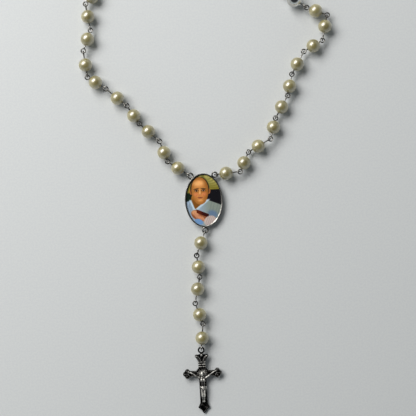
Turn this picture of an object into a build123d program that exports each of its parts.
"""A pearl rosary with an oval portrait medal and a dark silver crucifix, lying flat and face up.

Frame: +Z is up and Z = 0 is the surface that the rosary lies on. The origin is the middle of the
medal's flat back, +Y is the medal's long axis towards its two upper loops. Millimetres.

Every bead is threaded on an eye pin, a straight wire with a ring at each end, and each ring hooks
straight into the next. Each chain is laid link by link from the ring that it hooks into.
"""

import os
from collections import namedtuple
from math import asin, cos, degrees, radians, sin, sqrt

from build123d import *

os.makedirs("parts", exist_ok=True)

# Beads
PEARL_DIAMETER = 8.0
METAL_BEAD_DIAMETER = 9.0
METAL_BEAD_COLLAR = 0.4  # length of the turned collar at each end
BEAD_HOLE_DIAMETER = 0.96

# Eye pins
WIRE_DIAMETER = 0.8
EYE_DIAMETER = 3.4  # outside
BARE_WIRE = 2.4  # straight wire that the bead leaves bare, both sides together
EYE_CLEARANCE = 0.05  # left between two hooked wires when the chain is pulled tight

# Medal
MEDAL_WIDTH = 22.5
MEDAL_LENGTH = 32.0
MEDAL_HEIGHT = 3.8
MEDAL_WALL = 0.75
MEDAL_FLOOR = 2.6  # the solid back that the picture lies on
RIM_BEVEL_HEIGHT = 0.2  # of the bright bevel round the picture
RIM_BEVEL_WIDTH = 0.4
RIM_ROUNDING = 0.2
BACK_ROUNDING = 0.5
PICTURE_THICKNESS = 0.3
DOME_EDGE_HEIGHT = 3.5  # where the dome meets the wall
DOME_TOP_HEIGHT = 4.4
DOME_GAP = 0.04  # around the picture and the dome
LOOP_DIAMETER = 4.1  # outside
LOOP_WIRE_DIAMETER = 1.0
LOOP_HEIGHT = 3.0  # of the loops' middle plane
LOOP_STAND_OFF = 1.9  # from the medal's edge to a loop's centre
UPPER_LOOP_ANGLE = 26.0  # of the upper loops, each side of +Y

# Crucifix, measured from the centre of its loop towards its foot
CROSS_THICKNESS = 1.7
CROSS_RIM_HEIGHT = 0.35
CROSS_RIM_WIDTH = 0.5
CROSS_LOOP_DIAMETER = 4.2  # outside
CROSS_LOOP_WIRE_DIAMETER = 1.0
CROSS_NECK_WIDTH = 1.4  # between the loop and the crown
SHAFT_WIDTH = 4.3
CROWN_TOP = 2.1
CROWN_CORNERS = 3.7
CROWN_WIDTH = 8.0
CROWN_BASE = 6.8
CROWN_BOSS_RADIUS = 1.1
PLAQUE_CENTRE = 8.5
PLAQUE_LENGTH = 2.9
PLAQUE_WIDTH = 5.2
PLAQUE_RISE = 0.3  # above the rim
PLAQUE_BAR = 0.6  # each of its three raised bars
ARM_LINE = 14.1
ARM_SPAN = 23.2
ARM_WIDTH = 3.3
LOBE_RADIUS = 1.45  # of the three lobes that end each arm
LOBE_SPREAD = 1.2  # how far the side lobes lie behind the end one
HALO_RADIUS = 4.2
HALO_DISC_RADIUS = 3.6  # behind the rays
HALO_RAYS = 16
RAY_HALF_WIDTH = 0.55  # at the middle
FOOT_FLARE = 31.5
FOOT_WIDEST = 34.7
FOOT_WIDTH = 7.0
FOOT_TIP = 38.2
FOOT_TIP_RADIUS = 0.8

# How the rosary lies. Headings are degrees from +X, turning towards +Y. A slide is where the bead
# sits on its pin, from the middle towards the pin's outer eye. Slack is taken out of every joint.
PENDANT_HEADINGS = [248, 275, 257, 288, 263]
PENDANT_SLIDES = [0.0, 0.4, -0.65, 0.8, 0.65]
PENDANT_SLACK = 0.3
CRUCIFIX_HEADING = 269.5
CRUCIFIX_SLACK = 0.6
LEFT_HEADINGS = [145, 109, 136, 122, 138, 145, 96, 68, 98, 45]
LEFT_SLIDES = [0.6, -0.8, 0.8, -0.8, -0.8, 0.8, -0.6, 0.8, 0.2, -0.8]
LEFT_SLACK = 0.25
RIGHT_HEADINGS = [4, 64, 28, 73, 59, 76, 59, 28, 77, 157]
RIGHT_SLIDES = [-0.8, -0.6, -0.8, 0.8, -0.1, -0.8, -0.8, 0.1, 0.8, 0.8]
RIGHT_SLACK = 0.65
# The back of the loop: headings of the first links on each side, then an even turn to the middle.
BACK_RIGHT_HEADINGS = [145, 108, 76, 42]
BACK_LEFT_HEADINGS = [82, 108, 128]
BACK_SLACK = 0.3
BACK_LINKS = 17  # on each side: a metal bead, ten pearls, a metal bead and five pearls
BACK_METAL_BEADS = (0, 11)  # places of the metal beads among them
OPEN_GAP = 1.0  # between the two eyes where the closed loop is opened, after the left strand

# Worked out from the above
WIRE_RADIUS = WIRE_DIAMETER / 2
EYE_RADIUS = (EYE_DIAMETER - WIRE_DIAMETER) / 2  # to the middle of the wire
LOOP_WIRE = LOOP_WIRE_DIAMETER / 2
LOOP_RADIUS = (LOOP_DIAMETER - LOOP_WIRE_DIAMETER) / 2
CROSS_LOOP_WIRE = CROSS_LOOP_WIRE_DIAMETER / 2
CROSS_LOOP_RADIUS = (CROSS_LOOP_DIAMETER - CROSS_LOOP_WIRE_DIAMETER) / 2
PEARL_STEM = PEARL_DIAMETER + BARE_WIRE
METAL_STEM = METAL_BEAD_DIAMETER + 2 * METAL_BEAD_COLLAR + BARE_WIRE

# A ring to hook into: its centre, the radius to the middle of its wire, the wire's radius, whether
# it stands upright, and the plane of the piece that it is on, whose X points out along the chain.
Ring = namedtuple("Ring", "centre radius wire upright plane")
# A laid link: the plane of its pin, its bead's slide, whether the bead is metal, whether the inner
# and the outer eye stand upright, and the centres of both eyes.
Link = namedtuple("Link", "plane slide metal inner_upright outer_upright inner outer")


def export(shape, name):
    """Writes one node."""
    shape.label = name
    export_step(shape, f"parts/{name}.step")


# ---------------------------------------------------------------- laying the chains


def chain_plane(origin, heading, rise):
    """A plane whose X points along a heading, tilted up by rise, and whose Y stays level."""
    across = Vector(-sin(radians(heading)), cos(radians(heading)), 0)
    along = Vector(cos(radians(heading)), sin(radians(heading)), 0) * cos(radians(rise))
    along += Vector(0, 0, sin(radians(rise)))
    return Plane(origin=origin, x_dir=along, z_dir=along.cross(across))


def hooked_eye(ring, heading, radius, wire, slack, height):
    """Where the centre of an eye lies that hooks into a ring and is pulled along a heading.

    Each wire has to stay inside the other's hole. Within that room the eye comes as near to the
    wanted height as it can. The slack draws it back from where a taut chain would hold it.
    """
    level = chain_plane(Vector(), heading, 0).x_dir
    room_in_eye = radius - wire - ring.wire - EYE_CLEARANCE
    room_in_ring = ring.radius - ring.wire - wire - EYE_CLEARANCE
    pull = max(room_in_eye - slack, -room_in_eye)
    if ring.upright:
        towards = ring.plane.x_dir
        lift = sqrt(room_in_ring**2 - (ring.radius + pull - radius) ** 2)
    else:
        turn = level.dot(ring.plane.y_dir)
        towards = ring.plane.x_dir * sqrt(1 - turn**2) + ring.plane.y_dir * turn
        lift = sqrt(room_in_eye**2 - pull**2)
    hook = ring.centre + towards * ring.radius
    z = min(max(height, hook.Z - lift), hook.Z + lift)
    return Vector(hook.X, hook.Y, z) + level * pull


def lay_link(ring, heading, slide, slack, metal, twisted=False):
    """One bead on its pin, hooked into a ring and lying on the surface."""
    height = (METAL_BEAD_DIAMETER if metal else PEARL_DIAMETER) / 2
    half_pin = (METAL_STEM if metal else PEARL_STEM) / 2 + EYE_RADIUS
    inner = hooked_eye(ring, heading, EYE_RADIUS, WIRE_RADIUS, slack, height)
    rise = degrees(asin((height - inner.Z) / (half_pin + slide)))
    along = chain_plane(inner, heading, rise).x_dir
    plane = chain_plane(inner + along * half_pin, heading, rise)
    outer = inner + along * (2 * half_pin)
    upright = not ring.upright
    return Link(plane, slide, metal, upright, upright != twisted, inner, outer)


def outer_ring(link):
    """The ring at a link's far end."""
    return Ring(link.outer, EYE_RADIUS, WIRE_RADIUS, link.outer_upright, link.plane)


def opened_ring(link):
    """A ring ahead of a link's outer eye, so that the next eye stays clear of it by a gap."""
    ahead = EYE_DIAMETER + OPEN_GAP - EYE_RADIUS
    return outer_ring(link)._replace(centre=link.outer + link.plane.x_dir * ahead)


def lay_chain(ring, headings, slides, slack, metal_places=(), twist_last=False):
    """A run of links, each hooked into the one before it."""
    links = []
    for i, (heading, slide) in enumerate(zip(headings, slides)):
        twisted = twist_last and i == len(headings) - 1
        links.append(lay_link(ring, heading, slide, slack, i in metal_places, twisted))
        ring = outer_ring(links[-1])
    return links


def loop_ring(angle):
    """One of the medal's loops, at an angle from +X round the medal."""
    out = Vector(cos(radians(angle)), sin(radians(angle)), 0)
    edge = 1 / sqrt((out.X * 2 / MEDAL_WIDTH) ** 2 + (out.Y * 2 / MEDAL_LENGTH) ** 2)
    centre = out * (edge + LOOP_STAND_OFF) + Vector(0, 0, LOOP_HEIGHT)
    return Ring(centre, LOOP_RADIUS, LOOP_WIRE, False, chain_plane(centre, angle, 0))


def back_half(ring, first_headings, turn, twist_last=False):
    """Half of the back of the loop: its first links, then an even turn from link to link."""
    headings = list(first_headings)
    while len(headings) < BACK_LINKS:
        headings.append(headings[-1] + turn)
    slides = [0.0] * BACK_LINKS
    return lay_chain(ring, headings, slides, BACK_SLACK, BACK_METAL_BEADS, twist_last)


def back_gap(right_start, left_start, right_turn, left_turn):
    """How far the two halves of the back miss each other in X and Y."""
    right = back_half(right_start, BACK_RIGHT_HEADINGS, right_turn, True)
    left = back_half(left_start, BACK_LEFT_HEADINGS, left_turn)
    hook = right[-1].outer + right[-1].plane.x_dir * EYE_RADIUS
    pull = EYE_RADIUS - 2 * WIRE_RADIUS - EYE_CLEARANCE - BACK_SLACK
    gap = left[-1].outer + left[-1].plane.x_dir * pull - hook
    return gap.X, gap.Y


def meeting_turns(right_start, left_start, right_turn=11.0, left_turn=-11.0, step=0.01):
    """The turn per link on each side with which both halves hook together, by Newton's method."""
    for _ in range(20):
        x, y = back_gap(right_start, left_start, right_turn, left_turn)
        xr, yr = back_gap(right_start, left_start, right_turn + step, left_turn)
        xl, yl = back_gap(right_start, left_start, right_turn, left_turn + step)
        a, b, c, d = (xr - x) / step, (xl - x) / step, (yr - y) / step, (yl - y) / step
        right_turn -= (d * x - b * y) / (a * d - b * c)
        left_turn -= (a * y - c * x) / (a * d - b * c)
    return right_turn, left_turn


def lay_crucifix(ring):
    """The crucifix's plane: it hangs by its loop from the last eye and its foot touches down."""
    loop = (CROSS_LOOP_RADIUS, CROSS_LOOP_WIRE)
    centre = hooked_eye(ring, CRUCIFIX_HEADING, *loop, CRUCIFIX_SLACK, CROSS_THICKNESS / 2)
    rise = -degrees(asin((centre.Z - CROSS_THICKNESS / 2) / FOOT_TIP))
    return chain_plane(centre, CRUCIFIX_HEADING, rise)


LEFT_LOOP = loop_ring(90 + UPPER_LOOP_ANGLE)
RIGHT_LOOP = loop_ring(90 - UPPER_LOOP_ANGLE)
BOTTOM_LOOP = loop_ring(270)

pendant = lay_chain(BOTTOM_LOOP, PENDANT_HEADINGS, PENDANT_SLIDES, PENDANT_SLACK)
left = lay_chain(LEFT_LOOP, LEFT_HEADINGS, LEFT_SLIDES, LEFT_SLACK)
right = lay_chain(RIGHT_LOOP, RIGHT_HEADINGS, RIGHT_SLIDES, RIGHT_SLACK)
right_end = outer_ring(right[-1])
left_end = opened_ring(left[-1])
turns = meeting_turns(right_end, left_end)
back_right = back_half(right_end, BACK_RIGHT_HEADINGS, turns[0], True)
back_left = back_half(left_end, BACK_LEFT_HEADINGS, turns[1])
cross_plane = lay_crucifix(outer_ring(pendant[-1]))


# ---------------------------------------------------------------- beads and pins, X along the pin


def drilled_bead(diameter, collar):
    """A round bead with a hole along X and, if it is metal, a turned collar at each end."""
    radius = diameter / 2
    with BuildPart() as bead:
        with BuildSketch(Plane.XY) as half:
            Circle(radius)
            if collar:
                Rectangle(diameter + 2 * collar, 3 * BEAD_HOLE_DIAMETER)
            Rectangle(
                2 * diameter,
                diameter,
                align=(Align.CENTER, Align.MAX),
                mode=Mode.SUBTRACT,
            )
            Rectangle(2 * diameter, BEAD_HOLE_DIAMETER, mode=Mode.SUBTRACT)
        revolve(axis=Axis.X)
    return bead.part


def eye_pin(stem, inner_upright, outer_upright):
    """A straight wire with a ring at each end, each ring upright or flat."""
    with BuildPart() as pin:
        with BuildSketch(Plane.YZ.offset(-stem / 2)):
            Circle(WIRE_RADIUS)
        extrude(amount=stem)
        for side, upright in ((-1, inner_upright), (1, outer_upright)):
            centre = Vector(side * (stem / 2 + EYE_RADIUS), 0, 0)
            bore = Vector(0, 1, 0) if upright else Vector(0, 0, 1)
            across = bore.cross(Vector(1, 0, 0))
            with BuildSketch(Plane(centre, x_dir=Vector(1, 0, 0), z_dir=across)):
                with Locations((-side * EYE_RADIUS, 0)):
                    Circle(WIRE_RADIUS)
            revolve(axis=Axis(centre, bore))
    return pin.part


PEARL = drilled_bead(PEARL_DIAMETER, 0)
METAL_BEAD = drilled_bead(METAL_BEAD_DIAMETER, METAL_BEAD_COLLAR)
PINS = {}


def placed_bead(link):
    """A link's bead where it lies."""
    bead = METAL_BEAD if link.metal else PEARL
    return bead.moved(link.plane.location * Location((link.slide, 0, 0)))


def placed_pin(link):
    """A link's pin where it lies. Pins of one kind are made once."""
    kind = (METAL_STEM if link.metal else PEARL_STEM, link.inner_upright, link.outer_upright)
    if kind not in PINS:
        PINS[kind] = eye_pin(*kind)
    return PINS[kind].moved(link.plane.location)


for strand, links in (("pendant", pendant), ("left", left), ("right", right)):
    for number, link in enumerate(links, 1):
        export(placed_pin(link), f"{strand}_pin_{number}")
        export(placed_bead(link), f"{strand}_pearl_{number}")

for strand, links in (("back_right", back_right), ("back_left", back_left)):
    pearls = [placed_bead(link) for link in links if not link.metal]
    metal_beads = [placed_bead(link) for link in links if link.metal]
    export(Compound(children=[placed_pin(link) for link in links]), f"{strand}_pins")
    export(Compound(children=pearls), f"{strand}_pearls")
    export(Compound(children=metal_beads), f"{strand}_our_father_beads")


# ---------------------------------------------------------------- medal


def oval(inset):
    """The medal's outline, drawn smaller all round by an inset."""
    Ellipse(MEDAL_WIDTH / 2 - inset, MEDAL_LENGTH / 2 - inset)


with BuildPart() as medal_frame:
    with BuildSketch():
        oval(0)
    extrude(amount=MEDAL_HEIGHT)
    fillet(medal_frame.edges().group_by(Axis.Z)[0], radius=BACK_ROUNDING)
    with BuildSketch(Plane.XY.offset(MEDAL_FLOOR)):
        oval(MEDAL_WALL)
    extrude(amount=MEDAL_HEIGHT, mode=Mode.SUBTRACT)
    rim_top = medal_frame.faces().sort_by(Axis.Z)[-1]
    inner_edge = rim_top.edges().sort_by(SortBy.LENGTH)[0]
    chamfer(inner_edge, RIM_BEVEL_WIDTH, RIM_BEVEL_HEIGHT, reference=rim_top)
    outer_edge = medal_frame.edges().group_by(Axis.Z)[-1].sort_by(SortBy.LENGTH)[-1]
    fillet(outer_edge, radius=RIM_ROUNDING)
    for ring in (LEFT_LOOP, RIGHT_LOOP, BOTTOM_LOOP):
        with BuildSketch(Plane(ring.centre, x_dir=ring.plane.x_dir, z_dir=ring.plane.y_dir)):
            with Locations((LOOP_RADIUS, 0)):
                Circle(LOOP_WIRE)
        revolve(axis=Axis(ring.centre, Vector(0, 0, 1)))

with BuildPart() as medal_picture:
    with BuildSketch(Plane.XY.offset(MEDAL_FLOOR)):
        oval(MEDAL_WALL + DOME_GAP)
    extrude(amount=PICTURE_THICKNESS)

# The dome's crown is the top of an egg shape that meets the wall at one height all round: there it
# is cut 45 degrees from its top, where it is narrower than at its middle by the root of two.
picture_top = MEDAL_FLOOR + PICTURE_THICKNESS
egg_width = sqrt(2) * (MEDAL_WIDTH / 2 - MEDAL_WALL - DOME_GAP)
egg_length = sqrt(2) * (MEDAL_LENGTH / 2 - MEDAL_WALL - DOME_GAP)
egg_height = (DOME_TOP_HEIGHT - DOME_EDGE_HEIGHT) / (1 - 1 / sqrt(2))
egg = Pos(0, 0, DOME_TOP_HEIGHT - egg_height) * scale(
    Sphere(1), by=(egg_width, egg_length, egg_height)
)
with BuildPart() as medal_dome:
    with BuildSketch(Plane.XY.offset(picture_top)):
        oval(MEDAL_WALL + DOME_GAP)
    extrude(amount=DOME_TOP_HEIGHT - picture_top)
    add(egg, mode=Mode.INTERSECT)

export(medal_frame.part, "medal_frame")
export(medal_picture.part, "medal_picture")
export(medal_dome.part, "medal_dome")


# ---------------------------------------------------------------- crucifix, X towards its foot


def limb(joints):
    """A round limb through its joints, each given as X, Y, Z and radius, with a knob on each."""
    with BuildPart() as piece:
        for (*start, start_radius), (*end, end_radius) in zip(joints, joints[1:]):
            direction = Vector(*end) - Vector(*start)
            with BuildSketch(Plane(start, z_dir=direction)):
                Circle(start_radius)
            with BuildSketch(Plane(end, z_dir=direction)):
                Circle(end_radius)
            loft()
        for *joint, radius in joints:
            with Locations(tuple(joint)):
                Sphere(1.1 * radius)
    return piece.part


def trunk(outline, height):
    """A round trunk from an outline of X and radius, from its neck to its loincloth."""
    with BuildPart() as piece:
        with BuildSketch(Plane((0, 0, height), x_dir=(1, 0, 0), z_dir=(0, 0, 1))):
            with BuildLine():
                Spline(outline)
                Polyline(outline[-1], (outline[-1][0], 0), (outline[0][0], 0), outline[0])
            make_face()
        revolve(axis=Axis((0, 0, height), (1, 0, 0)))
    return piece.part


def relief_limb(joints):
    """A limb whose joints are given from the arm line and from the crucifix's face."""
    face = CROSS_THICKNESS / 2
    return limb([(ARM_LINE + x, y, face + height, radius) for x, y, height, radius in joints])


def cast_figure():
    """The figure in relief: a head, a trunk with its loincloth, and both arms and legs."""
    ribs = [(1.0, 0.6), (2.0, 1.45), (3.9, 1.55), (6.1, 1.05)]
    loincloth = [(7.9, 1.5), (9.6, 1.5), (10.5, 0.9)]
    sides = [(ARM_LINE + x, radius) for x, radius in ribs + loincloth]
    pieces = [
        relief_limb([(-0.1, 0, 0.75, 1.0), (0.6, 0, 0.7, 0.8)]),
        trunk(sides, CROSS_THICKNESS / 2 + 0.12),
    ]
    reach = ARM_SPAN / 2 - 2.2
    for side in (-1, 1):
        shoulder = (2.0, side * 1.8, 0.35, 0.75)
        elbow = (0.8, side * 5.2, 0.3, 0.6)
        hand = (-0.2, side * reach, 0.2, 0.5)
        hip = (8.8, side * 0.8, 0.3, 0.95)
        knee = (12.4, side * 0.75, 0.7, 0.75)
        foot = (16.0, side * 0.4, 0.2, 0.5)
        pieces += [relief_limb([shoulder, elbow, hand]), relief_limb([hip, knee, foot])]
    return pieces


def crown():
    """The top's outline: a boss between two corners that flare out from the shaft."""
    with BuildSketch(mode=Mode.PRIVATE) as shape:
        with BuildLine():
            flare = TangentArc(
                (CROWN_BASE, SHAFT_WIDTH / 2), (CROWN_CORNERS, CROWN_WIDTH / 2), tangent=(-1, 0)
            )
            Line(flare @ 1, (CROWN_CORNERS, 0))
            mirror(about=Plane.XZ)
            Line((CROWN_BASE, -SHAFT_WIDTH / 2), (CROWN_BASE, SHAFT_WIDTH / 2))
        make_face()
        with Locations((CROWN_TOP + CROWN_BOSS_RADIUS, 0)):
            Circle(CROWN_BOSS_RADIUS)
    return shape.sketch


def pointed_foot():
    """The foot's outline: it flares out from the shaft and tapers to a rounded tip."""
    with BuildSketch(mode=Mode.PRIVATE) as shape:
        with BuildLine():
            flare = TangentArc(
                (FOOT_FLARE, SHAFT_WIDTH / 2), (FOOT_WIDEST, FOOT_WIDTH / 2), tangent=(1, 0)
            )
            taper = Line(flare @ 1, (FOOT_TIP - FOOT_TIP_RADIUS, FOOT_TIP_RADIUS))
            JernArc(taper @ 1, tangent=(1, 0), radius=FOOT_TIP_RADIUS, arc_size=-90)
            mirror(about=Plane.XZ)
            Line((FOOT_FLARE, -SHAFT_WIDTH / 2), (FOOT_FLARE, SHAFT_WIDTH / 2))
        make_face()
    return shape.sketch


CROWN_OUTLINE = crown()
FOOT_OUTLINE = pointed_foot()
FIGURE = cast_figure()

with BuildPart() as crucifix:
    # The flat body with its raised rim
    with BuildSketch(Plane.XY.offset(-CROSS_THICKNESS / 2)) as outline:
        with Locations(((CROWN_BASE + FOOT_FLARE) / 2, 0)):
            Rectangle(FOOT_FLARE - CROWN_BASE, SHAFT_WIDTH)
        with Locations((ARM_LINE, 0)):
            Rectangle(ARM_WIDTH, ARM_SPAN - 2 * LOBE_RADIUS)
            Circle(HALO_DISC_RADIUS)
        for side in (-1, 1):
            reach = side * (ARM_SPAN / 2 - LOBE_RADIUS)
            with Locations(
                (ARM_LINE, reach),
                (ARM_LINE - LOBE_RADIUS, reach - side * LOBE_SPREAD),
                (ARM_LINE + LOBE_RADIUS, reach - side * LOBE_SPREAD),
            ):
                Circle(LOBE_RADIUS)
        add(CROWN_OUTLINE)
        add(FOOT_OUTLINE)
    extrude(amount=CROSS_THICKNESS)
    with BuildSketch(Plane.XY.offset(CROSS_THICKNESS / 2 - CROSS_RIM_HEIGHT)):
        add(outline.sketch)
        offset(amount=-CROSS_RIM_WIDTH, mode=Mode.REPLACE)
    extrude(amount=CROSS_RIM_HEIGHT, mode=Mode.SUBTRACT)

    # The plaque with its three bars
    with BuildSketch(Plane.XY.offset(-CROSS_THICKNESS / 2)):
        with Locations((PLAQUE_CENTRE, 0)):
            Rectangle(PLAQUE_LENGTH, PLAQUE_WIDTH)
    extrude(amount=CROSS_THICKNESS)
    with BuildSketch(Plane.XY):
        with Locations((PLAQUE_CENTRE, 0)):
            with GridLocations((PLAQUE_LENGTH - PLAQUE_BAR) / 2, 1, 3, 1):
                Rectangle(PLAQUE_BAR, PLAQUE_WIDTH - PLAQUE_BAR)
    extrude(amount=CROSS_THICKNESS / 2 + PLAQUE_RISE)

    # The halo's rays
    with BuildSketch(Plane.XY):
        with Locations((ARM_LINE, 0)):
            with PolarLocations(0, HALO_RAYS):
                Polygon((0, -RAY_HALF_WIDTH), (HALO_RADIUS, 0), (0, RAY_HALF_WIDTH), align=None)
    extrude(amount=CROSS_THICKNESS / 2 + PLAQUE_RISE / 2)

    # The loop and its neck
    with BuildSketch(Plane.XZ):
        with Locations((-CROSS_LOOP_RADIUS, 0)):
            Circle(CROSS_LOOP_WIRE)
    revolve(axis=Axis.Z)
    with BuildSketch(Plane.XY):
        with Locations(((CROSS_LOOP_RADIUS + CROWN_CORNERS) / 2, 0)):
            Rectangle(CROWN_CORNERS - CROSS_LOOP_RADIUS, CROSS_NECK_WIDTH)
    extrude(amount=0.8 * CROSS_LOOP_WIRE, both=True)

    for piece in FIGURE:
        add(piece)

export(crucifix.part.moved(cross_plane.location), "crucifix")
